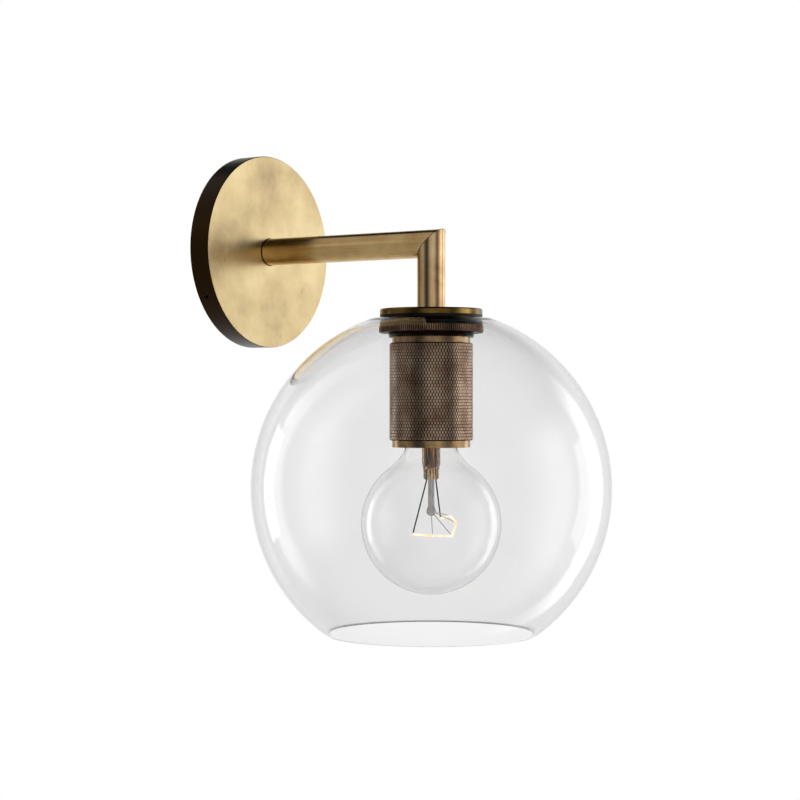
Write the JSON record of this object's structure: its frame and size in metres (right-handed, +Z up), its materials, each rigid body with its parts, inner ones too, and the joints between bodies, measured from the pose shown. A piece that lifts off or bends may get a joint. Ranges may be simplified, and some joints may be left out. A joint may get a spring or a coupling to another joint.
{
  "type": "globe wall sconce",
  "caption": "Wall light: round brass canopy, mitred tube arm, knurled socket cover and a clear glass globe, open underneath, round a clear round lamp.",
  "frame": {"origin": "centre of the canopy's back, on the wall, where the arm's axis meets it; the plate's two slots are centred on it", "axes": "+Z up, +Y into the wall, so the arm runs out along -Y; the stem, globe and lamp share an upright axis 129.5 mm out"},
  "size_m": [0.2032, 0.2311, 0.2774],
  "materials": {
    "antique_brass": "satin, aged",
    "dark_brass": "satin, darkened",
    "steel": "zinc plated",
    "black_steel": "black oxide",
    "rubber": "matt",
    "clear_glass": "clear, blown",
    "lamp_glass": "clear",
    "porcelain": "glazed",
    "contact_brass": "bright",
    "nickel": "nickel plated",
    "moulding": "moulded",
    "black_wire": "insulation",
    "white_wire": "insulation",
    "green_wire": "insulation",
    "base_glass": "black, moulded",
    "tungsten": "drawn wire"
  },
  "bodies": {
    "root": {"wall_plate": "steel", "canopy": "antique_brass", "canopy_set_screws": "black_steel", "earth_screw": "contact_brass", "terminal_block": "moulding", "block_barrels": "contact_brass", "block_screws": "steel", "block_fixing_screw": "steel", "arm_tube": "antique_brass", "drop_tube": "antique_brass", "arm_bush": "contact_brass", "stem_bush": "contact_brass", "arm_nipple": "steel", "stem_nipple": "steel", "arm_washer": "steel", "arm_nut": "steel", "stem_nut": "steel", "clamp_disc": "antique_brass", "upper_gasket": "rubber", "threaded_collar": "dark_brass", "knurled_cover": "dark_brass", "end_ring": "antique_brass", "lampholder_body": "porcelain", "screw_shell": "contact_brass", "centre_contact": "contact_brass", "terminal_plates": "contact_brass", "terminal_rivets": "contact_brass", "terminal_screws": "contact_brass", "holder_bracket": "steel", "bracket_screws": "steel", "live_wire": "black_wire", "neutral_wire": "white_wire", "earth_wire": "green_wire"},
    "shade": {"glass_globe": "clear_glass", "lower_gasket": "rubber"},
    "ring": {"retaining_ring": "dark_brass"},
    "lamp": {"lamp_envelope": "lamp_glass", "lamp_base_shell": "nickel", "lamp_base_insulator": "base_glass", "lamp_tip_contact": "nickel", "lamp_mount": "lamp_glass", "lamp_rod": "lamp_glass", "lamp_leads": "nickel", "filament": "tungsten", "filament_supports": "tungsten"}
  },
  "joints": [
    {"name": "shade_lower", "type": "slide", "parent": "root", "child": "shade", "axis": [0, 0, -1], "range_m": [0, 0.007]},
    {"name": "ring_turn", "type": "hinge", "parent": "shade", "child": "ring", "pos_m": [0, -0.1295, -0.048], "axis": [0, 0, -1], "range_deg": [0, 2521]},
    {"name": "lamp_out", "type": "slide", "parent": "root", "child": "lamp", "axis": [0, 0, -1], "range_m": [0, 0.026]}
  ],
  "couplings": [
    {"joint": "ring_turn", "follows": "shade_lower", "rad_per_m": 6283.2}
  ]
}
